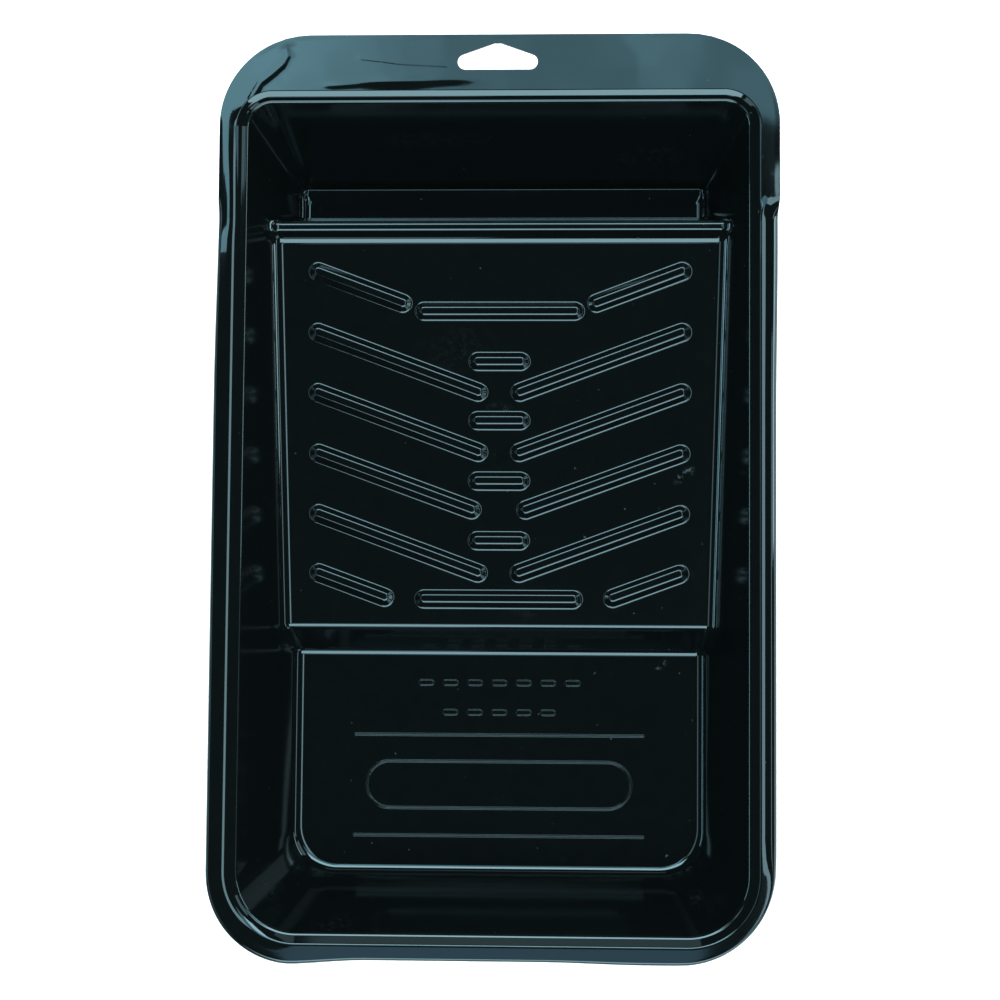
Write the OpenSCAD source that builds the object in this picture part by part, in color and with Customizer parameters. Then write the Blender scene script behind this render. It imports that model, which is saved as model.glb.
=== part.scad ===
// Paint roller tray: one thin formed plastic sheet with a ribbed ramp, a deep well, a rear foot
// that stands at the same level as the well, and a flat flange with a hang hole.
// X runs across the tray, +Y points to the hang flange, +Z is up; the origin is under the middle.
// Each node is one formed zone of the sheet, and neighbours meet face to face.

/* [Overall] */
// Width over the side lips, mm
tray_w = 223.6; // [180:1:420]
// Length from the front lip to the end of the hang flange, mm
tray_l = 368; // [300:1:560]
// Height from the feet to the top of the rim, mm
tray_h = 51; // [35:0.5:90]
// Thickness of the formed sheet, mm
sheet_t = 1.1; // [0.6:0.1:2.5]

/* [Rim] */
// Width of the rim from the wall to the outer edge, mm
rim_w = 11; // [8:0.1:20]
// Width of the small level ledge at the top of the walls, mm
ledge_w = 0.6; // [0.3:0.1:2]
// Height from that ledge to the top of the rim, mm
shoulder_h = 2.2; // [1:0.1:5]
// Width of the sloped shoulder above the ledge, mm
shoulder_w = 3.5; // [1:0.1:5]
// How far the lip turns down at the outer edge, mm
lip_drop = 4; // [1:0.1:10]
// Width of the rounded part of the lip, mm
lip_w = 3; // [1.5:0.1:6]

/* [Hang flange] */
// Depth of the flat flange behind the well opening, mm
flange_l = 27.1; // [15:0.5:50]
// Where the flat flange ends and the turned lip starts, mm from the middle
flange_y = 116; // [90:1:140]
// Radius of the outer corners of the flange, mm
flange_r = 34; // [10:1:50]
// Length of the hang hole, mm
hole_w = 32.2; // [25:0.5:40]
// Height of the hang hole from its flat side to its peak, mm
hole_h = 11; // [8:0.1:16]
// Radius of the ends of the hang hole, mm
hole_end_r = 3.2; // [1.5:0.1:5]
// Radius of the peak of the hang hole, mm
hole_peak_r = 4; // [1.5:0.1:8]
// Distance from the peak of the hole to the edge of the flange, mm
hole_edge = 3.4; // [2:0.1:8]

/* [Walls] */
// Draft of the side walls, degrees
side_draft = 19.3; // [5:0.1:35]
// Draft of the front wall, degrees
front_draft = 24.2; // [5:0.1:35]
// Draft of the back wall, degrees
back_draft = 28.6; // [5:0.1:40]
// Corner radius at the front, at the top of the wall, mm
front_r_top = 23.8; // [10:0.5:40]
// Corner radius at the front, at the floor of the well, mm
front_r_low = 19; // [5:0.5:35]
// Corner radius at the back, at the top of the wall, mm
back_r_top = 10; // [5:0.5:20]
// Corner radius at the back, at the foot, mm
back_r_low = 3; // [1:0.5:10]

/* [Ridge and rear foot] */
// Position of the front of the rear foot, mm
foot_y = 118.6; // [100:0.1:130]
// Position of the back edge of the ridge, mm
ridge_back_y = 112.1; // [95:0.1:128]
// Width of the flat top of the ridge, mm
ridge_w = 3.3; // [2:0.1:12]
// Height of the ridge, mm
ridge_z = 28.4; // [15:0.1:45]

/* [Ramp and well] */
// Position of the top of the ramp, mm
ramp_top_y = 105.4; // [80:0.1:120]
// Height of the top of the ramp, mm
ramp_top_z = 24.8; // [10:0.1:45]
// Position of the bottom of the ramp, mm
ramp_low_y = -52.2; // [-90:0.1:-20]
// Height of the bottom of the ramp, mm
ramp_low_z = 12.4; // [3:0.1:30]
// Position of the back of the well floor, mm
well_y = -61.2; // [-110:0.1:-30]

/* [Ribs] */
// Width of a rib at the ramp surface, mm
rib_w = 7.4; // [3:0.1:12]
// Width of the flat top of a rib, mm
rib_top_w = 3; // [1:0.1:8]
// Height of a rib, mm
rib_h = 2; // [0.8:0.1:4]

/* [Floor emboss] */
// Height of the raised lines and marks on the well floor, mm
mark_h = 0.5; // [0.2:0.1:1.5]
// Length of the two raised lines, mm
line_l = 118; // [50:1:150]
// Width of the two raised lines, mm
line_w = 1; // [0.5:0.1:3]

/* [Hidden] */
$fn = 48;
eps = 0.01;
far = 300;
rib_sink = 0.2;
front_y = -tray_l / 2;
rear_y = tray_l / 2;
wall_x = tray_w / 2 - rim_w;
wall_front_y = front_y + rim_w;
wall_back_y = rear_y - flange_l;
ledge_z = tray_h - shoulder_h;
wall_top_z = ledge_z - sheet_t;
shoulder_s = ledge_w + shoulder_w;
grow_k = 1.06;
side_k = tan(side_draft);
front_k = tan(front_draft);
back_k = tan(back_draft);

// Inner faces of the walls at height z
function in_x(z) = wall_x - (ledge_z - z) * side_k;
function in_front(z) = wall_front_y + (ledge_z - z) * front_k;
function in_back(z) = wall_back_y - (ledge_z - z) * back_k;
function mix(low, top, z) = low + (top - low) * (z - sheet_t) / (ledge_z - sheet_t);

// Path helpers: a path shifted to its right-hand side by d, with mitred corners
function unit(v) = v / norm(v);
function right(v) = [v[1], -v[0]];
function dir(p, i) = unit(p[i + 1] - p[i]);
function miter(a, b) = (right(a) + right(b)) / (1 + right(a) * right(b));
function shifted(p, d) = [
    for (i = [0:len(p) - 1])
        p[i] + d * (i == 0 ? right(dir(p, 0))
            : i == len(p) - 1 ? right(dir(p, i - 1))
            : miter(dir(p, i - 1), dir(p, i)))
];
function reversed(p) = [for (i = [len(p) - 1:-1:0]) p[i]];

// Upper surface of the floor in side view, as [y, z] from the front to the back
floor_top = [
    [front_y + 5, sheet_t],
    [well_y, sheet_t],
    [ramp_low_y, ramp_low_z],
    [ramp_top_y, ramp_top_z],
    [ridge_back_y - ridge_w, ridge_z],
    [ridge_back_y, ridge_z],
    [foot_y, sheet_t],
    [rear_y - 20, sheet_t],
];
floor_low = shifted(floor_top, sheet_t);

// Cross-section of the rim, as [distance outwards from the wall, height above the ledge]
function rim_top(w) = [
    [0, 0],
    [ledge_w, 0],
    [shoulder_s, shoulder_h],
    [w - lip_w, shoulder_h],
    [w - 0.45 * lip_w, shoulder_h - 0.12 * lip_drop],
    [w - 0.12 * lip_w, shoulder_h - 0.42 * lip_drop],
    [w, shoulder_h - lip_drop],
];
band_top = [[0, 0], [ledge_w, 0], [shoulder_s, shoulder_h]];
rim_low = shifted(rim_top(rim_w), sheet_t);
wall_foot = [-sheet_t * side_k, -sheet_t];
full_rim = concat(rim_top(rim_w), reversed([for (i = [1:len(rim_low) - 1]) rim_low[i]]), [wall_foot]);
band_only = concat(
    band_top,
    [[shoulder_s, rim_low[2][1]], rim_low[2], rim_low[1], wall_foot]
);

// Ramp ribs as [x1, y1, x2, y2], right half; single ones cross the middle
paired_ribs = [
    [74.1, 92.4, 39.5, 79.5],
    [74.1, 67.7, 8.5, 43.4],
    [74, 43.2, 8.4, 19],
    [73.6, 18.5, 11, -4.3],
    [73.5, -6, 8.4, -29.9],
    [73.3, -30.1, 46.5, -39.9],
];
middle_ribs = [
    [-30.7, 76.3, 30.7, 76.3],
    [-8.7, 55.9, 8.7, 55.9],
    [-8.7, 31.9, 8.7, 31.9],
    [-8.7, 7.4, 8.7, 7.4],
    [-8.7, -16.8, 8.7, -16.8],
    [-30.3, -40.5, 30.3, -40.5],
];
ramp_angle = atan2(ramp_top_z - ramp_low_z, ramp_top_y - ramp_low_y);

// ---------- shared shapes ----------

module black() {
    color([0.035, 0.045, 0.05]) children();
}

// Outline of the wall at height z, grown outwards by g, as a thin slab
module wall_ring(z, g) {
    fr = mix(front_r_low, front_r_top, z);
    br = mix(back_r_low, back_r_top, z);
    x = in_x(z);
    for (side = [-1, 1]) {
        translate([side * (x - fr), in_front(z) + fr, z]) cylinder(r = fr + g, h = eps);
        translate([side * (x - br), in_back(z) - br, z]) cylinder(r = br + g, h = eps);
    }
}

// The space inside the walls, grown outwards by g
module tub(g) {
    hull() {
        wall_ring(-1, g);
        wall_ring(wall_top_z - eps, g);
    }
}

// Everything above the underside of the floor
module above_floor() {
    side_extrude(2 * far) polygon(concat(floor_low, [[rear_y - 20, far], [front_y + 5, far]]));
}

// Extrudes a [y, z] shape along X, centred
module side_extrude(w) {
    translate([-w / 2, 0, 0]) rotate([90, 0, 90]) linear_extrude(w) children();
}

module box(x0, x1, y0, y1, z0, z1) {
    translate([x0, y0, z0]) cube([x1 - x0, y1 - y0, z1 - z0]);
}

// One zone of the walls between the given limits
module wall_zone(x0, x1, y0, y1) {
    intersection() {
        difference() {
            tub(sheet_t * grow_k);
            tub(0);
        }
        above_floor();
        box(x0, x1, y0, y1, 0, wall_top_z);
    }
}

// One strip of the floor, from point a to point b of its side view
module floor_strip(a, b) {
    intersection() {
        side_extrude(2 * wall_x) polygon(concat(
            [for (i = [a:b]) floor_top[i]],
            reversed([for (i = [a:b]) floor_low[i]])
        ));
        tub(0);
    }
}

front_cut_y = in_front(sheet_t) + front_r_low;
front_cut_x = in_x(sheet_t) - front_r_low;
back_cut_y = in_back(sheet_t) - back_r_low;
back_cut_x = in_x(sheet_t) - back_r_low;

// ---------- rim and flange ----------

// Straight rim along Y on the right side, from y0 to y1, with a given cross-section
module rim_along_y(section, y0, y1) {
    translate([wall_x, y1, ledge_z]) rotate([90, 0, 0]) linear_extrude(y1 - y0) polygon(section);
}

// Quarter of a rim around a corner of radius r, from +X round to +Y
module rim_round(section, r) {
    rotate_extrude(angle = 90, $fn = 96) polygon([for (p = section) [r + p[0], p[1]]]);
}

// Plan of the flat flange: outer outline less the opening inside the shoulder
module flange_plan() {
    r = back_r_top + shoulder_s;
    hole_x = wall_x + shoulder_s;
    hole_y = wall_back_y + shoulder_s;
    difference() {
        union() {
            translate([-tray_w / 2, flange_y]) square([tray_w, rear_y - flange_r - flange_y]);
            translate([-tray_w / 2 + flange_r, flange_y])
                square([tray_w - 2 * flange_r, rear_y - flange_y]);
            for (side = [-1, 1])
                translate([side * (tray_w / 2 - flange_r), rear_y - flange_r])
                    circle(flange_r, $fn = 96);
        }
        translate([-hole_x, flange_y - 5]) square([2 * hole_x, hole_y - r - flange_y + 5]);
        translate([-hole_x + r, flange_y - 5]) square([2 * (hole_x - r), hole_y - flange_y + 5]);
        for (side = [-1, 1])
            translate([side * (hole_x - r), hole_y - r]) circle(r);
    }
}

// Hang hole: two round ends joined by a flat side, and a round peak towards the edge
module hang_hole() {
    peak_y = rear_y - hole_edge;
    end = [hole_w / 2 - hole_end_r, peak_y - hole_h + hole_end_r];
    peak = [0, peak_y - hole_peak_r];
    run = peak - end;
    turn = asin((hole_end_r - hole_peak_r) / norm(run));
    a = atan2(run[1], run[0]) - 90 - turn;
    out = [cos(a), sin(a)];
    for (side = [-1, 1])
        translate([side * end[0], end[1]]) circle(hole_end_r);
    translate(peak) circle(hole_peak_r);
    polygon([
        [-end[0], end[1] - hole_end_r], [end[0], end[1] - hole_end_r],
        end + hole_end_r * out, peak + hole_peak_r * out,
        [-peak[0] - hole_peak_r * out[0], peak[1] + hole_peak_r * out[1]],
        [-end[0] - hole_end_r * out[0], end[1] + hole_end_r * out[1]],
    ]);
}

module hang_flange() {
    black() translate([0, 0, tray_h - sheet_t]) linear_extrude(sheet_t) difference() {
        intersection() {
            flange_plan();
            translate([-far, wall_back_y + shoulder_s]) square([2 * far, far]);
        }
        hang_hole();
    }
}

// Flat arm beside the opening, with its part of the shoulder
module flange_arm() {
    translate([0, 0, tray_h - sheet_t]) linear_extrude(sheet_t) intersection() {
        flange_plan();
        translate([0, 0]) square([far, wall_back_y + shoulder_s]);
    }
    rim_along_y(band_only, flange_y, wall_back_y - back_r_top);
}

module left_flange() {
    black() mirror([1, 0, 0]) flange_arm();
}

module right_flange() {
    black() flange_arm();
}

module rear_shoulder() {
    black() {
        for (side = [0, 1])
            mirror([side, 0, 0])
                translate([wall_x - back_r_top, wall_back_y - back_r_top, ledge_z])
                    rim_round(band_only, back_r_top);
        translate([-(wall_x - back_r_top), wall_back_y, ledge_z]) rotate([90, 0, 90])
            linear_extrude(2 * (wall_x - back_r_top)) polygon(band_only);
    }
}

module left_rim() {
    black() mirror([1, 0, 0]) rim_along_y(full_rim, wall_front_y + front_r_top, flange_y);
}

module right_rim() {
    black() rim_along_y(full_rim, wall_front_y + front_r_top, flange_y);
}

module front_rim() {
    w = 2 * (wall_x - front_r_top);
    black() translate([w / 2, wall_front_y, ledge_z]) rotate([90, 0, -90])
        linear_extrude(w) polygon(full_rim);
}

module rim_corner() {
    translate([wall_x - front_r_top, wall_front_y + front_r_top, ledge_z])
        rotate([0, 0, -90]) rim_round(full_rim, front_r_top);
}

module left_rim_corner() {
    black() mirror([1, 0, 0]) rim_corner();
}

module right_rim_corner() {
    black() rim_corner();
}

// ---------- walls ----------

module back_wall() {
    black() wall_zone(-back_cut_x, back_cut_x, back_cut_y, far);
}

module left_wall() {
    black() wall_zone(-far, 0, front_cut_y, back_cut_y);
}

module right_wall() {
    black() wall_zone(0, far, front_cut_y, back_cut_y);
}

module front_wall() {
    black() wall_zone(-front_cut_x, front_cut_x, -far, front_cut_y);
}

module rear_left_corner() {
    black() wall_zone(-far, -back_cut_x, back_cut_y, far);
}

module rear_right_corner() {
    black() wall_zone(back_cut_x, far, back_cut_y, far);
}

module front_left_corner() {
    black() wall_zone(-far, -front_cut_x, -far, front_cut_y);
}

module front_right_corner() {
    black() wall_zone(front_cut_x, far, -far, front_cut_y);
}

// ---------- floor ----------

module rear_foot() {
    black() floor_strip(6, 7);
}

module ridge_wall() {
    black() floor_strip(5, 6);
}

module ridge() {
    black() floor_strip(3, 5);
}

// Half of a rib's cross-section, from its middle outwards; it starts just under the surface
function rib_half() = [
    [0, -rib_sink], [rib_w / 2, -rib_sink], [rib_w / 2, 0], [rib_top_w / 2, rib_h], [0, rib_h],
];

// A rib standing on z = 0: flat top, sloped sides and round ends
module rib(r) {
    run = [r[2] - r[0], r[3] - r[1]];
    half = rib_half();
    left_half = [for (i = [len(half) - 1:-1:0]) if (half[i][0] > 0) [-half[i][0], half[i][1]]];
    translate([r[0], r[1], 0]) rotate([0, 0, atan2(run[1], run[0])]) {
        rotate([0, 0, 90]) rotate_extrude(angle = 180) polygon(half);
        translate([norm(run), 0, 0]) rotate([0, 0, -90]) rotate_extrude(angle = 180) polygon(half);
        rotate([90, 0, 90]) linear_extrude(norm(run))
            polygon(concat([for (p = half) if (p[0] > 0) p], left_half));
    }
}

// All ribs on the slope of the ramp, moved by dz along its normal
module ribs(dz) {
    translate([0, ramp_low_y, ramp_low_z]) rotate([ramp_angle, 0, 0])
        translate([0, -ramp_low_y, dz]) {
            for (r = paired_ribs) {
                rib(r);
                rib([-r[0], r[1], -r[2], r[3]]);
            }
            for (r = middle_ribs)
                rib(r);
        }
}

module ramp() {
    black() difference() {
        union() {
            floor_strip(2, 3);
            ribs(0);
        }
        ribs(-sheet_t);
    }
}

module well_step() {
    black() floor_strip(1, 2);
}

// A raised line with round ends, centred at [x, y]
module mark(x, y, l, w) {
    translate([x, y, sheet_t - eps]) {
        for (side = [-1, 1])
            translate([side * (l - w) / 2, 0, 0]) cylinder(d = w, h = mark_h + eps);
        translate([-(l - w) / 2, -w / 2, 0]) cube([l - w, w, mark_h + eps]);
    }
}

module well_floor() {
    black() {
        floor_strip(0, 1);
        for (y = [-95.5, -136.5])
            mark(0, y, line_l, line_w);
        // blank raised panel outline between the two lines
        difference() {
            mark(0, -115.8, 108, 20);
            translate([0, 0, mark_h]) mark(0, -115.8, 106, 18);
            mark(0, -115.8, 106, 18);
        }
        for (x = [-20:10:20])
            mark(x, -86.3, 6, 2.4);
        for (x = [-30:10:30])
            mark(x, -74.2, 6, 2.4);
    }
}

hang_flange();
left_flange();
right_flange();
rear_shoulder();
left_rim();
right_rim();
front_rim();
left_rim_corner();
right_rim_corner();
back_wall();
left_wall();
right_wall();
front_wall();
rear_left_corner();
rear_right_corner();
front_left_corner();
front_right_corner();
rear_foot();
ridge_wall();
ridge();
ramp();
well_step();
well_floor();
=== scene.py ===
import math
import bpy
import numpy as np
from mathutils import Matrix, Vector
from mathutils.geometry import delaunay_2d_cdt


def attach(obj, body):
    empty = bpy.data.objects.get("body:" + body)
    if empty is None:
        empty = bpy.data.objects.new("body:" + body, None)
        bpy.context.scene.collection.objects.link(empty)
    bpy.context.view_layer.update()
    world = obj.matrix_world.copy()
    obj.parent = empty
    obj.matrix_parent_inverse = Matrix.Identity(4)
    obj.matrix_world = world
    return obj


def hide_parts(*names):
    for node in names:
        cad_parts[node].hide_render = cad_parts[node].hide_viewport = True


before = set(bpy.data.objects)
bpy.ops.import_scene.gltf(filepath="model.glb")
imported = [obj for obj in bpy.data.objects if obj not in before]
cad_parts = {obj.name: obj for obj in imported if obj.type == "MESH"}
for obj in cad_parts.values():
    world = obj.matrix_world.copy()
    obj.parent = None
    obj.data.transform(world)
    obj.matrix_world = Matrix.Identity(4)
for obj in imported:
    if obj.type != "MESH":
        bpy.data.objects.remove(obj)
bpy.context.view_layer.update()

# All plan and height values below are millimetres in the CAD frame.
MM = 0.001
SHEET = 1.1
TOP_Z = 51.0
LEDGE_Z = 48.8
FLOOR_Z = 1.1
STEP_FOOT_Y, POCKET_FOOT_Y = -61.2, 118.6
FAR = 400.0

# Walls: inner face at the floor (low) and at the crease under the rim (high)
LOW_X, HIGH_X = 83.9, 100.6
LOW_FRONT, HIGH_FRONT = -151.6, -173.9
LOW_BACK, HIGH_BACK = 130.9, 156.9
LOW_FRONT_R, HIGH_FRONT_R = 19.0, 23.8
LOW_BACK_R, HIGH_BACK_R = 3.0, 10.0
COS_SIDE, COS_FRONT, COS_BACK = 0.944, 0.906, 0.878
CREASE_R = 0.7
FOOT_R, POCKET_FOOT_R = 3.8, 0.3

# Trimmed outer edge
FRONT_Y, REAR_Y, LEFT_X, RIGHT_X = -184.0, 184.0, -111.7, 112.7
EDGE_LEFT_R, EDGE_RIGHT_R, EDGE_REAR_R = 35.5, 38.0, 36.5
BEAD_S, LIP_W, LIP_DROP, LIP_TURN = 4.6, 1.2, 3.0, 0.9
LIP_POWER, ROLLED_LESS, LIP_TILT, LIP_CUT = 12, 10.75, 0.06, 0.9
ROLL_REACH, ROLL_MORE, ROLL_SLOPE = 2.5, 10, 0.037
# Where the turned-down lip ends and the flat rear flange begins
JOG_Y = 114.0


class Section:
    """A polyline whose corners are rounded by true arcs, read as height over position."""

    def __init__(self, points, radii):
        self.points = np.array(points, float)
        self.arcs = []
        for i, radius in enumerate(radii, start=1):
            a, b, c = self.points[i - 1:i + 2]
            back = (a - b) / np.linalg.norm(a - b)
            ahead = (c - b) / np.linalg.norm(c - b)
            half = math.acos(float(np.clip(back @ ahead, -1, 1))) / 2
            run = radius / math.tan(half)
            middle = (back + ahead) / np.linalg.norm(back + ahead)
            centre = b + middle * radius / math.sin(half)
            side = -1 if centre[1] > b[1] else 1
            self.arcs.append(((b + back * run)[0], (b + ahead * run)[0], centre, radius, side))

    def __call__(self, s):
        z = np.interp(s, self.points[:, 0], self.points[:, 1])
        for start, end, centre, radius, side in self.arcs:
            on = (s > start) & (s < end)
            rise = np.maximum(radius ** 2 - (s[on] - centre[0]) ** 2, 0)
            z[on] = centre[1] + side * np.sqrt(rise)
        return z

    def samples(self, n):
        """Positions across every arc, for the mesh to follow."""
        out = []
        for start, end, centre, radius, side in self.arcs:
            out += [start - 0.05, end + 0.05]
            a0 = math.asin((start - centre[0]) / radius)
            a1 = math.asin((end - centre[0]) / radius)
            out += [centre[0] + radius * math.sin(a0 + (a1 - a0) * i / n) for i in range(n + 1)]
        return out


# Floor, from front to back: well, step, ramp, ridge, rear pocket
floor_line = Section(
    [(-200, FLOOR_Z), (STEP_FOOT_Y, FLOOR_Z), (-52.2, 12.4), (105.4, 24.8), (108.9, 28.4),
     (112.6, 28.4), (POCKET_FOOT_Y, FLOOR_Z), (200, FLOOR_Z)],
    [4.4, 3.6, 7.0, 2.2, 2.2, 0.3])
# Rim, outwards from the crease: ledge, shoulder, flat. The shoulder is sharp at the right and the
# front, round at the left, and has a break in it at the rear.
SHOULDER = [(-60, LEDGE_Z), (0.7, LEDGE_Z), (4.2, TOP_Z), (90, TOP_Z)]
sharp_shoulder = Section(SHOULDER, [1.2, 2.2])
round_shoulder = Section(SHOULDER, [1.2, 9.0])
rear_shoulder = Section(
    [(-60, LEDGE_Z), (0.7, LEDGE_Z), (2.4, 50.2), (4.4, TOP_Z), (90, TOP_Z)], [0.6, 1.5, 0.8])
# Height of a rib and of a raised mark, by distance from its middle line
rib_line = Section([(-9, 1.5), (1.45, 1.5), (3.65, 0.0), (FAR, 0.0)], [1.8, 1.8])
mark_line = Section([(-9, 0.32), (0.18, 0.32), (0.55, 0.0), (FAR, 0.0)], [0.28, 0.28])

# Slanted ribs of the right half, as the two ends x, y, x, y; level ribs, as half length and y
SIDE_RIBS = [
    (74.1, 92.4, 39.5, 79.5), (74.1, 67.7, 8.5, 43.4), (74.0, 43.2, 8.4, 19.0),
    (73.6, 18.5, 11.0, -4.3), (73.5, -6.0, 8.4, -29.9), (73.3, -30.1, 46.5, -39.9)]
MID_RIBS = [(30.7, 76.3), (8.7, 55.9), (8.7, 31.9), (8.7, 7.4), (8.7, -16.8), (30.3, -40.5)]
ribs = [(sx * a, b, sx * c, d) for a, b, c, d in SIDE_RIBS for sx in (1, -1)]
ribs += [(-x, y, x, y) for x, y in MID_RIBS]
# Raised marks in the well: two rows of dashes, two lines and a capsule outline
DASH_R = 0.7
dashes = [(x - 2, -86.3, x + 2, -86.3) for x in range(-20, 21, 10)]
dashes += [(x - 2, -74.2, x + 2, -74.2) for x in range(-30, 31, 10)]
rules = [(-59, -95.5, 59, -95.5), (-59, -136.5, 59, -136.5)]
CAPSULE = (-44.5, -115.8, 44.5, -115.8)
CAPSULE_R = 9.5


def hypot0(a, b):
    return np.hypot(np.maximum(a, 0), np.maximum(b, 0))


def smooth(a, b, v):
    """Goes smoothly from 0 at a to 1 at b; a may be the larger."""
    t = np.clip((v - a) / (b - a), 0, 1)
    return t * t * (3 - 2 * t)


def to_segment(x, y, seg):
    """Distance to a segment given as x, y, x, y."""
    x0, y0, x1, y1 = seg
    dx, dy = x1 - x0, y1 - y0
    t = np.clip(((x - x0) * dx + (y - y0) * dy) / (dx * dx + dy * dy), 0, 1)
    return np.hypot(x - x0 - t * dx, y - y0 - t * dy)


def rounded_box(x, y, half_x, y0, y1, r_front, r_back):
    """Signed distance to a rounded rectangle, and the share of its direction along X."""
    front = y < 0
    r = np.where(front, r_front, r_back)
    qx = np.abs(x) - half_x + r
    qy = np.where(front, y0 + r - y, y - y1 + r)
    sd = hypot0(qx, qy) + np.minimum(np.maximum(qx, qy), 0) - r
    px, py = np.maximum(qx, 0) ** 2, np.maximum(qy, 0) ** 2
    share = np.where((px > 0) & (py > 0), px / np.maximum(px + py, 1e-9), (qx > qy) * 1.0)
    return sd, share


def wall_distance(x, y, z):
    """Distance inwards from the walls, which lean outwards as they rise."""
    f = (z - FLOOR_Z) / (LEDGE_Z - FLOOR_Z)
    sd, share = rounded_box(
        x, y, LOW_X + (HIGH_X - LOW_X) * f, LOW_FRONT + (HIGH_FRONT - LOW_FRONT) * f,
        LOW_BACK + (HIGH_BACK - LOW_BACK) * f, LOW_FRONT_R + (HIGH_FRONT_R - LOW_FRONT_R) * f,
        LOW_BACK_R + (HIGH_BACK_R - LOW_BACK_R) * f)
    cos_end = np.where(y < 0, COS_FRONT, COS_BACK)
    return -sd * (share * COS_SIDE + (1 - share) * cos_end)


def crease_distance(x, y):
    """Distance outwards from the crease between the walls and the rim."""
    return rounded_box(x, y, HIGH_X, HIGH_FRONT, HIGH_BACK, HIGH_FRONT_R, HIGH_BACK_R)[0]


def edge_distance(x, y):
    """Distance inwards from the trimmed edge.

    The trim is a little off centre. Towards the front both sides shift left by about 1 mm, and the
    front edge swells by 0.3 to 2.2 mm, most at its left corner.
    """
    left = LEFT_X - 1.0 * smooth(120, 40, y)
    right = RIGHT_X - 0.8 * smooth(JOG_Y + 4, JOG_Y - 4, y) - 0.6 * smooth(100, 30, y)
    swell = 1.9 * smooth(-48, -84, x) + 0.8 * smooth(20, 60, x) + 0.3
    y = y + swell * smooth(-120, -172, y)
    front_r = EDGE_LEFT_R + (EDGE_RIGHT_R - EDGE_LEFT_R) * smooth(-40, 40, x)
    return -rounded_box(x - (left + right) / 2, y, (right - left) / 2, FRONT_Y, REAR_Y,
                        front_r, EDGE_REAR_R)[0]


def lip_share(y):
    """1 where the edge turns down, 0 at the flat flange behind the jog."""
    return smooth(JOG_Y + 4, JOG_Y - 6, y)


# Shallow dents: middle, direction of the long axis, half length, half width, height; all in mm
DENTS = [
    (-42, 165.0, 1, 0.01, 13, 2.0, 0.12), (-63, 163.6, 1, 0.06, 6, 1.2, 0.05),
    (-20, 166, 1, 0, 12, 2.2, 0.05), (60, 172, 0.9, 0.3, 14, 6.0, 0.05),
    (106.2, 113.5, 0.2, 1, 3.0, 1.2, 0.28),
]
# Creases pressed into the wide flange: path, half width, height
CREASES = [
    ([(-90.5, 184), (-86.2, 179.4), (-84.6, 176), (-86.6, 172.2), (-90.6, 168.6),
      (-95.6, 164.6), (-99, 158.5)], 1.5, 0.11),
    ([(-55.4, 174.4), (-45.3, 173.2), (-39.2, 172.3), (-23.2, 171.4), (-19, 171)], 0.7, 0.014),
]


def to_path(x, y, path):
    d = np.full_like(x, FAR)
    for a, b in zip(path, path[1:]):
        d = np.minimum(d, to_segment(x, y, (*a, *b)))
    return d


def flange_waves(x, y):
    """The slight warp of a formed sheet, mostly on the wide flange."""
    wide = smooth(112, 140, y)
    w = wide * (0.06 * np.sin(x / 17 + 0.6) * np.cos(y / 11 + x / 60)
                + 0.012 * np.sin(x / 5.3 + y / 6.1))
    for cx, cy, ux, uy, length, width, height in DENTS:
        along = (x - cx) * ux + (y - cy) * uy
        across = (y - cy) * ux - (x - cx) * uy
        w = w + height * np.exp(-(along / length) ** 2 - (across / width) ** 2)
    for path, width, height in CREASES:
        w = w + height * np.exp(-(to_path(x, y, path) / width) ** 2)
    return w * smooth(2.6, 4.6, crease_distance(x, y)) * smooth(0.0, 2.5, edge_distance(x, y))


def floor_height(x, y):
    """Floor with its ribs and raised marks."""
    z = floor_line(y)
    for seg in ribs:
        z = z + rib_line(to_segment(x, y, seg))
    mark = np.full_like(z, FAR)
    for seg in dashes:
        mark = np.minimum(mark, to_segment(x, y, seg) - DASH_R)
    for seg in rules:
        mark = np.minimum(mark, to_segment(x, y, seg))
    mark = np.minimum(mark, np.abs(to_segment(x, y, CAPSULE) - CAPSULE_R))
    return z + mark_line(mark)


def rim_height(x, y):
    """Ledge, shoulder, flat, lip and flange."""
    s = crease_distance(x, y)
    left, rear = smooth(-76, -98, x), smooth(147, 156, y)
    z = left * round_shoulder(s) + (1 - left) * sharp_shoulder(s)
    z = rear * rear_shoulder(s) + (1 - rear) * z
    e = edge_distance(x, y)
    # The lip turns down sharply at its very edge; on the right it is rolled over the whole width.
    rolled = smooth(40, 100, x) * smooth(-172, -140, y)
    tilt = LIP_TILT * (1 - rolled)
    u = np.clip((s - BEAD_S) / np.maximum(s - BEAD_S + e, 1e-3), 0, 1)
    u = u ** (LIP_POWER - ROLLED_LESS * rolled) * (1 - tilt) + tilt * u
    drop = 1 - np.sqrt(1 - (LIP_TURN * u) ** 2)
    drop = drop / (1 - math.sqrt(1 - LIP_TURN ** 2))
    # From the jog rearwards the left edge droops a little, over a strip that narrows.
    reach = ROLL_REACH + ROLL_MORE * smooth(146, 100, y)
    roll = ROLL_SLOPE * reach * smooth(158, 146, y) * smooth(98, 110, y) * smooth(0, -60, x)
    droop = roll * np.clip(1 - e / reach, 0, 1) ** 2
    return z - lip_share(y) * LIP_DROP * drop + flange_waves(x, y) - droop


def with_slope(height, x, y, h=0.02):
    """Height, and the cosine of its slope."""
    gx = (height(x + h, y) - height(x - h, y)) / (2 * h)
    gy = (height(x, y + h) - height(x, y - h)) / (2 * h)
    return height(x, y), 1 / np.sqrt(1 + gx ** 2 + gy ** 2)


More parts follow.
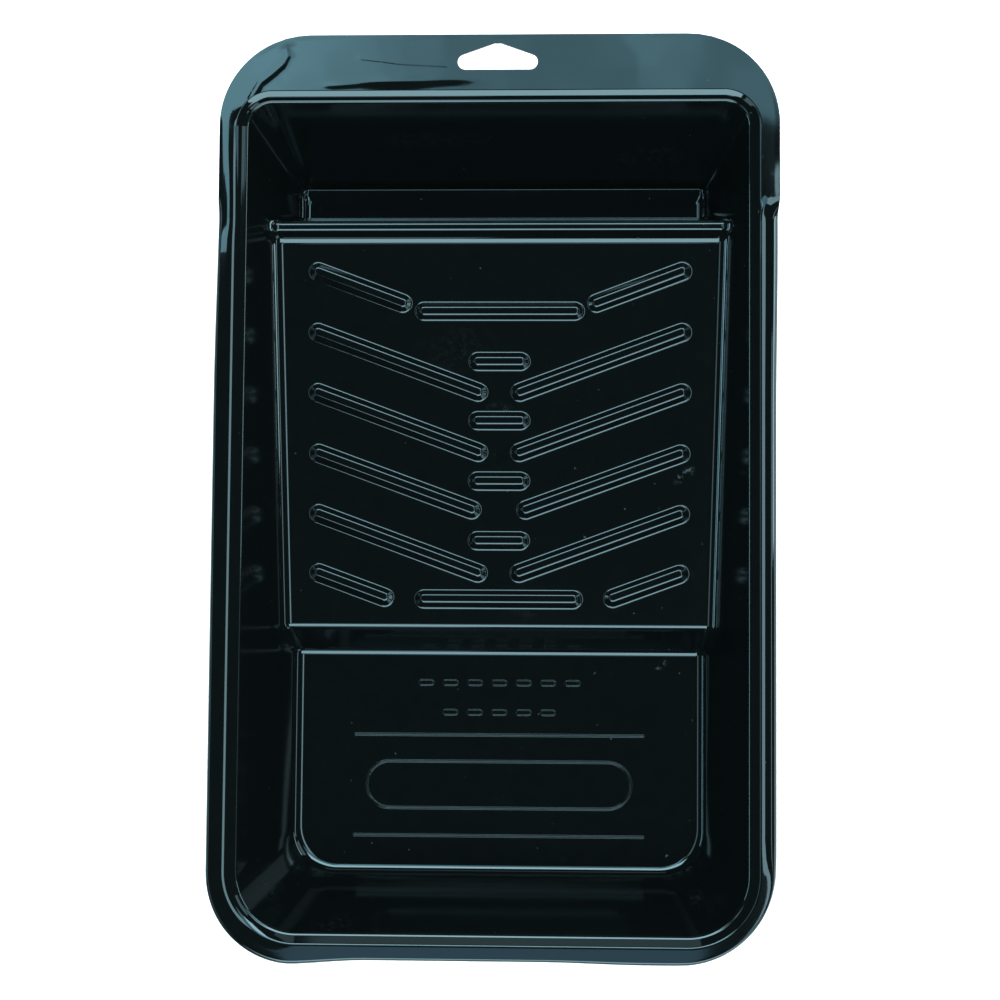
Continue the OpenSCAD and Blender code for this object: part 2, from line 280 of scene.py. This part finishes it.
class Surface:
    """Signed distance above the sheet's upper face, for fixed plan positions."""

    def __init__(self, x, y):
        self.x, self.y = x, y
        self.p, self.cos_p = with_slope(floor_height, x, y)
        self.t, self.cos_t = with_slope(rim_height, x, y)
        # The fillet at the foot of the walls is wide, but tight along the back wall
        at_back = smooth(110, 116, y) * smooth(-3, 3, LOW_X - np.abs(x) - LOW_BACK + y)
        self.foot = FOOT_R + (POCKET_FOOT_R - FOOT_R) * at_back

    def __call__(self, z):
        rim = (z - self.t) * self.cos_t
        wall = wall_distance(self.x, self.y, z)
        floor = (z - self.p) * self.cos_p
        edge = (np.minimum(-CREASE_R, np.maximum(rim, wall))
                + hypot0(CREASE_R + rim, CREASE_R + wall))
        return (np.maximum(self.foot, np.minimum(edge, floor))
                - hypot0(self.foot - edge, self.foot - floor))


def solve(x, y, level):
    """Height at which the distance above the upper face is level."""
    surface = Surface(x, y)
    low, high = np.full_like(x, -9.0), np.full_like(x, 60.0)
    for _ in range(34):
        middle = (low + high) / 2
        under = surface(middle) < level
        low = np.where(under, middle, low)
        high = np.where(under, high, middle)
    return (low + high) / 2


def normals_at(x, y, z, h=0.02):
    """Unit normals of the surface through these points."""
    g = np.stack([
        Surface(x + h, y)(z) - Surface(x - h, y)(z),
        Surface(x, y + h)(z) - Surface(x, y - h)(z),
        Surface(x, y)(z + h) - Surface(x, y)(z - h)], axis=1)
    return g / np.linalg.norm(g, axis=1)[:, None]


# ---------- plan of the mesh ----------
# Closed rows of vertices run round the tray: up the foot of the walls, over the crease and out to
# the trimmed edge. The floor inside them, and the band between rim and lip with the hang hole in
# it, are filled with triangles.

def wall_x_at(z):
    """Half width between the side walls at a height."""
    return LOW_X + (HIGH_X - LOW_X) * (z - FLOOR_Z) / (LEDGE_Z - FLOOR_Z)


profile_ys = sorted(set(np.round(floor_line.samples(7), 3)))
INNER = 4.2
back_c = LOW_BACK - INNER - 0.5


def spokes():
    """Half of the loop, from the front middle to the rear middle.

    Each spoke holds its inner end, its foot, its point on the crease and its direction outwards.
    """
    rows = []
    low_c = (LOW_X - LOW_FRONT_R, LOW_FRONT + LOW_FRONT_R)
    high_c = (HIGH_X - HIGH_FRONT_R, HIGH_FRONT + HIGH_FRONT_R)
    for i in range(14):
        u = i / 14
        rows.append(((u * low_c[0], LOW_FRONT + INNER), (u * low_c[0], LOW_FRONT),
                     (u * high_c[0], HIGH_FRONT), (0, -1)))
    for i in range(24):
        a = math.radians(-90 + 90 * i / 24)
        d = (math.cos(a), math.sin(a))
        rows.append((
            (low_c[0] + (LOW_FRONT_R - INNER) * d[0], low_c[1] + (LOW_FRONT_R - INNER) * d[1]),
            (low_c[0] + LOW_FRONT_R * d[0], low_c[1] + LOW_FRONT_R * d[1]),
            (high_c[0] + HIGH_FRONT_R * d[0], high_c[1] + HIGH_FRONT_R * d[1]), d))
    # Along the side walls: the floor's arcs, the spans between them, and the two steep slopes
    ys = list(np.linspace(low_c[1], -64, 13)) + profile_ys
    ys += list(np.linspace(-49, 101, 26)) + list(np.linspace(120.8, back_c, 6))
    ys += list(np.arange(113.1, 118.3, 0.45)) + list(np.arange(-59.6, -53, 0.8))
    ys = sorted(ys)
    ys = [y for i, y in enumerate(ys) if i == 0 or y - ys[i - 1] > 0.04]
    foot_map = ([low_c[1], POCKET_FOOT_Y, back_c],
                [low_c[1], POCKET_FOOT_Y, LOW_BACK - LOW_BACK_R])
    high_map = ([low_c[1], -60, POCKET_FOOT_Y, back_c],
                [high_c[1], -60, POCKET_FOOT_Y, HIGH_BACK - HIGH_BACK_R])
    for y in ys[:-1]:
        fy, hy = float(np.interp(y, *foot_map)), float(np.interp(y, *high_map))
        x_in = wall_x_at(floor_line(np.array([y]))[0]) - INNER
        x_foot = wall_x_at(floor_line(np.array([fy]))[0])
        rows.append(((x_in, y), (x_foot, fy), (HIGH_X, hy), (1, 0)))
    in_c = (LOW_X - INNER - 0.5, back_c)
    foot_c = (LOW_X - LOW_BACK_R, LOW_BACK - LOW_BACK_R)
    top_c = (HIGH_X - HIGH_BACK_R, HIGH_BACK - HIGH_BACK_R)
    for i in range(23):
        a = math.radians(90 * i / 22)
        d = (math.cos(a), math.sin(a))
        rows.append(((in_c[0] + 0.5 * d[0], in_c[1] + 0.5 * d[1]),
                     (foot_c[0] + LOW_BACK_R * d[0], foot_c[1] + LOW_BACK_R * d[1]),
                     (top_c[0] + HIGH_BACK_R * d[0], top_c[1] + HIGH_BACK_R * d[1]), d))
    for i in range(1, 19):
        u = 1 - i / 18
        rows.append(((u * in_c[0], LOW_BACK - INNER), (u * foot_c[0], LOW_BACK),
                     (u * top_c[0], HIGH_BACK), (0, 1)))
    return np.array(rows)


half = spokes()
other = half[1:-1][::-1].copy()
other[:, :, 0] *= -1
loop = np.concatenate([half, other])
inner, foot, crease, outward = (loop[:, i] for i in range(4))

# Distances of the closed rows, in mm: before and after the foot, under and beyond the crease, and
# inwards from the trimmed edge
before_foot = np.array([4.2, 3.2, 3.02, 2.85, 2.65, 2.4, 2.15, 1.9, 1.65, 1.4, 1.15, 0.9, 0.65,
                        0.4, 0.2]) / INNER
after_foot = np.array([0, 0.15, 0.3, 0.45, 0.6, 0.8, 1.0, 1.2])
under_crease = np.array([1.2, 0.75, 0.5, 0.3, 0.15, 0])
rim_steps = np.array([0.12, 0.25, 0.35, 0.5, 0.65, 0.8, 0.98, 1.04, 1.8, 2.5, 2.8, 3.1, 3.4,
                      3.63, 3.8, 4.0, 4.2, 4.4, 4.6, 4.8, 4.95, 5.2, 5.5, 5.8, 6.2])
lip_steps = np.array([3.6, 3.2, 2.8, 2.4, 2.0, 1.7, 1.4, 1.15, 0.9, 0.7, 0.5, 0.35, 0.2, 0.08,
                      0])

columns = [foot + (inner - foot) * f for f in before_foot]
run = np.linalg.norm(crease - foot, axis=1)[:, None]
along = (crease - foot) / run
columns += [foot + along * f for f in after_foot]
columns += [foot + along * (1.2 + (run - 2.4) * f) for f in (0.33, 0.67)]
columns += [crease - along * f for f in under_crease]
columns += [crease + outward * s for s in rim_steps]
n_inner_columns = len(columns)

# Distance along each spoke from the crease to the trimmed edge
near, far = np.zeros(len(loop)), np.full(len(loop), 60.0)
for _ in range(40):
    middle = (near + far) / 2
    p = crease + outward * middle[:, None]
    inside = edge_distance(p[:, 0], p[:, 1]) > 0
    near, far = np.where(inside, middle, near), np.where(inside, far, middle)
edge = crease + outward * near[:, None]
edge_x, edge_y = edge.T
h = 0.01
grad = np.stack([edge_distance(edge_x + h, edge_y) - edge_distance(edge_x - h, edge_y),
                 edge_distance(edge_x, edge_y + h) - edge_distance(edge_x, edge_y - h)], axis=1)
edge_out = -grad / np.linalg.norm(grad, axis=1)[:, None]
columns += [edge - edge_out * e for e in lip_steps]
grid = np.array(columns)
n_columns, n_loop = grid.shape[:2]

faces = []
index = np.arange(n_columns * n_loop).reshape(n_columns, n_loop)


def strip(a, b):
    """Quads between two closed rows of vertex numbers, facing up for rows that go outwards."""
    return np.stack([a, b, np.roll(b, -1), np.roll(a, -1)], axis=1).tolist()


for j in range(n_columns - 1):
    if j != n_inner_columns - 1:
        faces += strip(index[j], index[j + 1])
points = [tuple(p) for p in grid.reshape(-1, 2)]


class Plan:
    """Points and constraint lines of one area that is filled with triangles."""

    def __init__(self):
        self.points, self.known, self.edges = [], [], []

    def add(self, pts, closed=False, known=None):
        """A line or ring; known gives the vertex numbers of points that are in the mesh already."""
        first = len(self.points)
        self.points += [(float(p[0]), float(p[1])) for p in pts]
        self.known += list(known) if known is not None else [None] * len(pts)
        n = len(pts)
        self.edges += [(first + i, first + (i + 1) % n) for i in range(n if closed else n - 1)]

    def dots(self, pts):
        """Loose points."""
        self.points += [(float(p[0]), float(p[1])) for p in pts]
        self.known += [None] * len(pts)

    def fill(self, keep):
        """Triangulates, and adds the new points and faces to the mesh."""
        out, _, tris, origin, _, _ = delaunay_2d_cdt(self.points, self.edges, [], 0, 1e-5)
        co = np.array([tuple(v) for v in out])
        tris = np.array([tuple(t) for t in tris])
        centre = co[tris].mean(axis=1)
        tris = tris[keep(centre[:, 0], centre[:, 1])]
        number = {}
        for t in np.unique(tris):
            known = [self.known[o] for o in origin[t] if o < len(self.known)
                     and self.known[o] is not None]
            if known:
                number[t] = int(known[0])
            else:
                number[t] = len(points)
                points.append((float(co[t][0]), float(co[t][1])))
        a, b, c = (co[tris[:, i]] for i in range(3))
        ab, ac = b - a, c - a
        turn = ab[:, 0] * ac[:, 1] - ab[:, 1] * ac[:, 0]
        for t, s in zip(tris, turn):
            if abs(s) < 1e-9:
                continue
            f = [number[v] for v in t]
            faces.append(f if s > 0 else f[::-1])


def pill(seg, r, n=6, step=6.0):
    """Outline of a pill round a segment, at distance r."""
    x0, y0, x1, y1 = seg
    length = math.hypot(x1 - x0, y1 - y0)
    ux, uy = (x1 - x0) / length, (y1 - y0) / length
    out = []
    m = max(1, round(length / step))
    for cx, cy, sx, sy, a0 in ((x1, y1, -ux, -uy, -90), (x0, y0, ux, uy, 90)):
        for i in range(2 * n + 1):
            a = math.radians(a0 + 180 * i / (2 * n))
            c, s = math.cos(a), math.sin(a)
            out.append((cx + r * (ux * c - uy * s), cy + r * (uy * c + ux * s)))
        end = out[-1]
        out += [(end[0] + sx * length * i / m, end[1] + sy * length * i / m)
                for i in range(1, m)]
    return out


def in_polygon(ring, x, y):
    """Even-odd test."""
    hit = np.zeros(len(x), bool)
    for (x0, y0), (x1, y1) in zip(ring, np.roll(ring, -1, axis=0)):
        if y0 != y1:
            hit ^= ((y0 > y) != (y1 > y)) & (x < (x1 - x0) * (y - y0) / (y1 - y0) + x0)
    return hit


floor_plan = Plan()
floor_plan.add(grid[0], closed=True, known=index[0])
inner_xs = {round(float(p[1]), 3): float(p[0]) for p in half[:, 0] if p[1] < 122}
for y in profile_ys:
    if y in inner_xs:
        x = inner_xs[y]
        floor_plan.add([(x * (-1 + 2 * i / 14), y) for i in range(15)])
rib_loops = sorted(rib_line.samples(4))
for seg in ribs:
    floor_plan.add([(seg[0] + (seg[2] - seg[0]) * t, seg[1] + (seg[3] - seg[1]) * t)
                    for t in np.linspace(0, 1, 8)])
    for r in [0.7] + rib_loops + [2.5, 4.4]:
        floor_plan.add(pill(seg, r), closed=True)
mark_loops = sorted(mark_line.samples(2))
for seg in rules:
    for r in mark_loops:
        floor_plan.add(pill(seg, r, 2, 12.0), closed=True)
for seg in dashes:
    for r in mark_loops:
        floor_plan.add(pill(seg, DASH_R + r, 3, 4.0), closed=True)
for r in mark_loops:
    floor_plan.add(pill(CAPSULE, CAPSULE_R + r, 9, 9.0), closed=True)
    floor_plan.add(pill(CAPSULE, CAPSULE_R - r, 9, 9.0), closed=True)
# Loose points in the open floor, clear of ribs, marks and step; they sway so that none line up
STEP_Y = -56.7
dots = []
for y in np.arange(-146, 102, 7.0):
    for x in np.arange(-77, 77.1, 7.0):
        clear = min(float(to_segment(np.array(x), np.array(y), s))
                    for s in ribs + dashes + rules)
        if clear > 5.5 and abs(y - STEP_Y) > 8:
            dots.append((x + 0.13 * math.sin(y), y + 0.11 * math.cos(x)))
floor_plan.dots(dots)
floor_plan.fill(lambda x, y: in_polygon(grid[0], x, y))

# Hang hole
HOLE_W, HOLE_H, HOLE_END_R, HOLE_PEAK_R, HOLE_EDGE = 32.2, 11.0, 3.2, 4.0, 3.4


def hole_outline(grow):
    """The hang hole grown by a distance: two round ends and a round peak."""
    peak = (0.0, REAR_Y - HOLE_EDGE - HOLE_PEAK_R)
    end = (HOLE_W / 2 - HOLE_END_R, REAR_Y - HOLE_EDGE - HOLE_H + HOLE_END_R)
    run_x, run_y = peak[0] - end[0], peak[1] - end[1]
    turn = math.asin((HOLE_END_R - HOLE_PEAK_R) / math.hypot(run_x, run_y))
    a = math.degrees(math.atan2(run_y, run_x)) - 90 - math.degrees(turn)
    out = []

    def arc(c, r, a0, a1, n):
        for i in range(n + 1):
            t = math.radians(a0 + (a1 - a0) * i / n)
            out.append((c[0] + (r + grow) * math.cos(t), c[1] + (r + grow) * math.sin(t)))

    arc(end, HOLE_END_R, -90, a, 10)
    arc(peak, HOLE_PEAK_R, a, 180 - a, 8)
    arc((-end[0], end[1]), HOLE_END_R, 180 - a, 270, 10)
    for i in range(1, 8):
        out.append((-end[0] + 2 * end[0] * i / 8, end[1] - HOLE_END_R - grow))
    return out


hole_path = np.array(hole_outline(0.0))
hole_margin = np.array(hole_outline(2.2))

band = Plan()
band.add(grid[n_inner_columns - 1], closed=True, known=index[n_inner_columns - 1])
band.add(grid[n_inner_columns], closed=True, known=index[n_inner_columns])
hole_row = None
for grow in (0.0, 0.1):
    ring = hole_outline(grow)
    ids = np.arange(len(points), len(points) + len(ring))
    points += ring
    band.add(ring, closed=True, known=ids)
    if hole_row is None:
        hole_row = ids
for grow in (0.3, 0.8):
    band.add(hole_outline(grow), closed=True)
# Loose points: rows beside each crease path, a strip along the long dents, and an open lattice
band_dots = []
for path, width, _ in CREASES:
    for (x0, y0), (x1, y1) in zip(path, path[1:]):
        length = math.hypot(x1 - x0, y1 - y0)
        ux, uy = (x1 - x0) / length, (y1 - y0) / length
        for i in range(int(length / 1.1)):
            t = 1.1 * i + 0.5
            for k in (-2.1, -1.5, -1.0, -0.7, -0.4, 0, 0.4, 0.7, 1.0, 1.5, 2.1):
                x, y = x0 + ux * t - uy * k * width, y0 + uy * t + ux * k * width
                px, py = np.array([x]), np.array([y])
                if crease_distance(px, py)[0] > 6.6 and edge_distance(px, py)[0] > 3.9:
                    band_dots.append((x, y))
for x in np.arange(-72, -4, 1.4):
    band_dots += [(x + 0.1 * k, 163.6 + 0.5 * k) for k in range(12)]
for y in np.arange(118, 182, 2.6):
    for x in np.arange(-110, 110.1, 3.0):
        px, py = np.array([x]), np.array([y])
        if crease_distance(px, py)[0] > 8 and edge_distance(px, py)[0] > 4:
            if not in_polygon(hole_margin, px, py)[0]:
                band_dots.append((x + 0.2 * math.sin(5 * y), y + 0.2 * math.cos(7 * x)))
band.dots(band_dots)
band.fill(lambda x, y: in_polygon(grid[n_inner_columns], x, y)
          & ~in_polygon(grid[n_inner_columns - 1], x, y) & ~in_polygon(hole_path, x, y))

# ---------- heights, the underside and the cut edges ----------

plan = np.array(points)
px, py = plan[:, 0].copy(), plan[:, 1].copy()
upper = solve(px, py, 0.0)
normal = normals_at(px, py, upper)
lower = solve(px, py, -SHEET)
low_normal = -normals_at(px, py, lower)
# The feet stand flat on the floor, and the lip ends in a flat cut.
low_normal[lower < 0] = (0, 0, -1)
lower = np.maximum(lower, 0.0)
lip = edge_distance(px, py) < LIP_W
stop = TOP_Z - LIP_DROP * lip_share(py) - LIP_CUT
flat = lip & (lower < stop) & (py < JOG_Y + 4)
lower[flat] = stop[flat]
low_normal[flat] = (0, 0, -1)

n_top = len(plan)
outer_row = index[-1]
ring = plan[hole_row]
tangent = np.roll(ring, -1, axis=0) - np.roll(ring, 1, axis=0)
hole_out = np.stack([-tangent[:, 1], tangent[:, 0]], axis=1)
hole_out /= np.linalg.norm(hole_out, axis=1)[:, None]
# Both cut edges are eased a little, above and below.
for row, direction in ((outer_row, edge_out), (hole_row, hole_out)):
    upper[row] -= 0.12
    lower[row] += 0.1
    normal[row] = low_normal[row] = np.column_stack([direction, np.zeros(len(row))])

co = np.concatenate([np.column_stack([px, py, upper]), np.column_stack([px, py, lower])])
no = np.concatenate([normal, low_normal])
top_faces = faces
low_faces = [[v + n_top for v in f[::-1]] for f in faces]
cut_faces = strip(outer_row, outer_row + n_top) + strip(hole_row + n_top, hole_row)
all_faces = top_faces + low_faces + cut_faces

mesh = bpy.data.meshes.new("tray_sheet")
mesh.from_pydata((co * MM).tolist(), [], all_faces)
mesh.polygons.foreach_set("use_smooth", [True] * len(mesh.polygons))
mesh.polygons.foreach_set(
    "material_index", [0] * len(top_faces) + [1] * len(low_faces) + [1] * len(cut_faces))
mesh.update()
mesh.normals_split_custom_set_from_vertices(no.tolist())
tray = bpy.data.objects.new("tray_sheet", mesh)
bpy.context.scene.collection.objects.link(tray)


# ---------- materials ----------

class Nodes:
    """A material's node tree, with short calls to add and link nodes."""

    def __init__(self, name):
        self.material = bpy.data.materials.new(name)
        self.material.use_nodes = True
        self.tree = self.material.node_tree
        self.tree.nodes.clear()

    def add(self, kind, links=None, **values):
        """A new node; each value is set on the node if it has that property, else on its socket."""
        node = self.tree.nodes.new(kind)
        for key, value in values.items():
            if hasattr(node, key):
                setattr(node, key, value)
            else:
                node.inputs[key.replace("_", " ")].default_value = value
        for key, source in (links or {}).items():
            self.tree.links.new(source, node.inputs[key])
        return node

    def noise(self, vector, scale, detail=3.0, rough=0.5):
        return self.add("ShaderNodeTexNoise", {"Vector": vector}, Scale=scale, Detail=detail,
                        Roughness=rough).outputs["Fac"]

    def ramp(self, fac, a, b, low, high):
        """Maps a..b to low..high."""
        return self.add("ShaderNodeMapRange", {"Value": fac}, From_Min=a, From_Max=b,
                        To_Min=low, To_Max=high).outputs["Result"]

    def math(self, operation, a, b, clamp=False):
        return self.add("ShaderNodeMath", {0: a, 1: b}, operation=operation,
                        use_clamp=clamp).outputs[0]

    def sum(self, a, b):
        return self.math("ADD", a, b)

    def mix(self, factor, low, high):
        """Mixes two colours; the first may be a node's output."""
        node = self.add("ShaderNodeMix", {"Factor": factor}, data_type="RGBA")
        if isinstance(low, tuple):
            node.inputs["A"].default_value = low
        else:
            self.tree.links.new(low, node.inputs["A"])
        node.inputs["B"].default_value = high
        return node.outputs["Result"]

    def bump(self, height, strength, distance):
        return self.add("ShaderNodeBump", {"Height": height}, Strength=strength,
                        Distance=distance).outputs["Normal"]

    def finish(self, shader):
        """Links the shader to the output, and gives back the material."""
        self.add("ShaderNodeOutputMaterial", {"Surface": shader.outputs[0]})
        return self.material


# Rubbed or dusty spots on the top face: x, y, half length and half width in mm, angle in degrees,
# strength
SPOTS = [
    (75, 10, 6, 3.0, 35, 1.6), (66.6, -66.4, 4.0, 2.2, 20, 1.4), (0, 36, 7, 4, 0, 0.9),
    (80, -160, 5, 4, 60, 0.6), (-91, -157, 4, 7, 30, 0.7), (62, 141, 22, 5, 8, 0.35),
    (-30, 146, 40, 3, 0, 0.35), (-63, -171, 12, 5, 10, 0.4), (-18, 60, 20, 12, 30, 0.3),
]


PLASTIC_IOR = 1.5
BLACK_DARK, BLACK_LIGHT = (0.0017, 0.0026, 0.0027, 1), (0.0026, 0.0038, 0.0040, 1)
SATIN_DARK, SATIN_LIGHT = (0.0060, 0.0080, 0.0086, 1), (0.0095, 0.0118, 0.0124, 1)
DUST, DUST_ROUGH = (0.009, 0.0115, 0.012, 1), 0.35


def formed_plastic():
    """Glossy black sheet: uneven gloss, duller walls, fine dust and rubbed spots."""
    n = Nodes("formed_black_plastic")
    coords = n.add("ShaderNodeTexCoord")
    place = coords.outputs["Object"]
    # Roughness: a slow drift, rubbed patches, and more on walls that were drawn deep
    rub = n.ramp(n.noise(place, 60.0, 6.0, 0.7), 0.62, 0.8, 0.0, 0.10)
    rough = n.sum(n.ramp(n.noise(place, 14.0), 0.3, 0.7, 0.03, 0.06), rub)
    facing = n.add("ShaderNodeSeparateXYZ", {0: coords.outputs["Normal"]}).outputs["Z"]
    rough = n.sum(rough, n.ramp(facing, 0.5, 0.78, 0.09, 0.0))
    # Dust: sparse specks everywhere, and broken-up marks at the listed spots
    specks = n.ramp(n.noise(place, 420.0, 1.0), 0.79, 0.82, 0.0, 0.7)
    broken = n.ramp(n.noise(place, 380.0, 5.0, 0.75), 0.48, 0.66, 0.0, 1.0)
    marks = None
    for x, y, length, width, angle, strength in SPOTS:
        local = n.add("ShaderNodeMapping", {"Vector": place}, vector_type="TEXTURE")
        local.inputs["Location"].default_value = (x * MM, y * MM, 0)
        local.inputs["Rotation"].default_value = (0, 0, math.radians(angle))
        local.inputs["Scale"].default_value = (length * MM, width * MM, 1)
        reach = n.add("ShaderNodeVectorMath", {0: local.outputs[0]}, operation="LENGTH")
        spot = n.ramp(reach.outputs["Value"], 0.3, 1.0, strength, 0.0)
        marks = spot if marks is None else n.sum(marks, spot)
    dusty = n.math("MAXIMUM", specks, n.math("MULTIPLY", marks, broken), clamp=True)
    rough = n.sum(rough, n.ramp(dusty, 0.0, 1.0, 0.0, DUST_ROUGH))
    black = n.mix(n.noise(place, 160.0, 4.0), BLACK_DARK, BLACK_LIGHT)
    shader = n.add("ShaderNodeBsdfPrincipled", {
        "Base Color": n.mix(dusty, black, DUST), "Roughness": rough,
        "Normal": n.bump(n.noise(place, 900.0, 2.0), 0.02, 0.00002)}, IOR=PLASTIC_IOR)
    shader.inputs["Specular Tint"].default_value = (0.62, 0.92, 1.0, 1)
    return n.finish(shader)


def underside_plastic():
    """The side that faced the mould, and the trimmed edges: satin, with a fine grain."""
    n = Nodes("satin_black_plastic")
    place = n.add("ShaderNodeTexCoord").outputs["Object"]
    wide = n.noise(place, 30.0, 4.0)
    shader = n.add("ShaderNodeBsdfPrincipled", {
        "Base Color": n.mix(wide, SATIN_DARK, SATIN_LIGHT),
        "Roughness": n.ramp(wide, 0.3, 0.7, 0.22, 0.34),
        "Normal": n.bump(n.noise(place, 1400.0, 3.0), 0.12, 0.0001)}, IOR=PLASTIC_IOR)
    return n.finish(shader)


mesh.materials.append(formed_plastic())
mesh.materials.append(underside_plastic())
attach(tray, "root")
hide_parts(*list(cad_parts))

# ---------- floor, light and camera ----------

floor_mesh = bpy.data.meshes.new("studio_floor")
R = 6.0
floor_mesh.from_pydata(
    [(-R, -R, 0), (R, -R, 0), (R, R, 0), (-R, R, 0)], [], [(0, 1, 2, 3)])
studio_floor = bpy.data.objects.new("studio_floor", floor_mesh)
bpy.context.scene.collection.objects.link(studio_floor)
n = Nodes("pale_floor")
place = n.add("ShaderNodeTexCoord").outputs["Object"]
pale = n.mix(n.noise(place, 3.0), (0.86, 0.86, 0.86, 1), (0.90, 0.90, 0.90, 1))
shader = n.add("ShaderNodeBsdfPrincipled", {"Base Color": pale}, Roughness=0.9)
shader.inputs["Specular IOR Level"].default_value = 0.0
shader.inputs["Emission Color"].default_value = (1, 1, 1, 1)
shader.inputs["Emission Strength"].default_value = 0.75
floor_mesh.materials.append(n.finish(shader))

SOFT_TINT = (0.84, 0.96, 1.0)


def panel(name, centre, target, width, height, radiance, tint=SOFT_TINT):
    """A soft rectangular light that faces the target; its width is level. Sizes are in metres."""
    data = bpy.data.lights.new(name, "AREA")
    data.shape = "RECTANGLE"
    data.size, data.size_y = width, height
    data.energy = radiance * math.pi * width * height
    data.color = tint
    lamp = bpy.data.objects.new(name, data)
    bpy.context.scene.collection.objects.link(lamp)
    lamp.location = centre
    lamp.rotation_euler = (Vector(target) - Vector(centre)).to_track_quat("-Z", "Y").to_euler()
    return lamp


def ceiling(name, x0, x1, y0, y1, z, radiance, tint=SOFT_TINT):
    """A level panel that faces down."""
    lamp = panel(name, ((x0 + x1) / 2, (y0 + y1) / 2, z), ((x0 + x1) / 2, (y0 + y1) / 2, 0),
                 x1 - x0, y1 - y0, radiance, tint)
    lamp.rotation_euler = (0, 0, 0)


REAR_TINT = (0.60, 0.89, 1.0)
FRONT_TINT = (0.55, 0.79, 1.0)
# The wide flange mirrors rear_near. Steps brighten it towards the left, and patches make it uneven.
# Each lies a little higher than the last, so that no two share a plane.
NEAR_Y0, NEAR_Y1 = 0.475, 0.80
STEP_FAR_X = (-0.27, -0.235, -0.20, -0.165, -0.13)
PATCHES = [
    (0.035, 0.105, NEAR_Y0, NEAR_Y1, 0.9), (-0.16, -0.06, 0.505, 0.60, 0.35),
    (-0.05, 0.0, NEAR_Y0, 0.512, 0.4), (0.0, 0.08, 0.53, 0.60, 0.35),
    (0.13, 0.2, NEAR_Y0, 0.53, 0.5), (-0.30, -0.24, 0.53, 0.60, 0.5),
]
ceiling("rear_near", -0.46, 0.9, NEAR_Y0, NEAR_Y1, 1.50, 2.7, REAR_TINT)
for i, far_x in enumerate(STEP_FAR_X):
    ceiling("rear_step_%d" % i, -0.46, far_x, NEAR_Y0, NEAR_Y1, 1.501 + 0.001 * i, 0.65, REAR_TINT)
for i, (x0, x1, y0, y1, extra) in enumerate(PATCHES):
    ceiling("rear_patch_%d" % i, x0, x1, y0, y1, 1.507 + 0.001 * i, extra, REAR_TINT)
# The other level panels light the rim, the ramp and the well. The tilted ones face the tray from
# its sides and corners, for the walls.
ceiling("rear_far", -0.9, 0.9, 0.80, 1.30, 1.5, 12.0)
ceiling("rear_left", -0.46, -0.305, 0.365, 0.475, 1.5, 5.5, REAR_TINT)
ceiling("front_near", -0.27, 0.11, -0.50, -0.245, 1.5, 1.6, FRONT_TINT)
ceiling("front_far", -0.5, 0.9, -1.5, -0.52, 1.5, 9.0)
ceiling("front_low", -0.6, -0.16, -2.4, -1.5, 1.5, 1.6)
ceiling("right_panel", 0.18, 0.47, -0.32, 0.47, 1.5, 5.5)
panel("right_low", (1.3, 0.5, 0.27), (0.1, 0.05, 0.05), 0.9, 0.36, 9.0)
panel("right_mid", (1.4, 0.85, 1.0), (0.0, 0.1, 0.05), 0.7, 0.5, 2.2)
panel("corner_low", (1.5, -1.6, 0.95), (-0.1, 0.15, 0.05), 1.0, 0.6, 2.4)
panel("left_low", (-1.5, 0.05, 0.26), (0.05, 0.05, 0.02), 0.8, 0.32, 9.0, REAR_TINT)
panel("left_mid", (-1.5, 0.05, 0.69), (0.05, 0.05, 0.02), 0.8, 0.14, 6.0, REAR_TINT)
panel("right_side", (1.5, -0.2, 0.85), (0.0, -0.05, 0.05), 1.0, 0.17, 4.0)
panel("rear_low", (0.0, 2.6, 1.65), (0.0, -0.17, 0.05), 0.9, 0.28, 0.9)
ceiling("left_panel", -0.92, -0.62, -0.6, 0.6, 1.5, 2.2)

world = bpy.data.worlds.new("studio_world")
world.use_nodes = True
world.node_tree.nodes["Background"].inputs["Color"].default_value = (0.02, 0.022, 0.024, 1)
bpy.context.scene.world = world

camera_data = bpy.data.cameras.new("camera")
camera_data.sensor_width = 36.0
camera_data.lens = 104.37
camera = bpy.data.objects.new("camera", camera_data)
camera.location = (0.0637273, -0.1075951, 1.1894176)
camera.rotation_euler = (0.0915, 0.0531, 0.0082)
bpy.context.scene.collection.objects.link(camera)
bpy.context.scene.camera = camera

view = bpy.context.scene.view_settings
view.view_transform = "Standard"
view.look = "None"
view.exposure = 0.0
view.gamma = 1.0
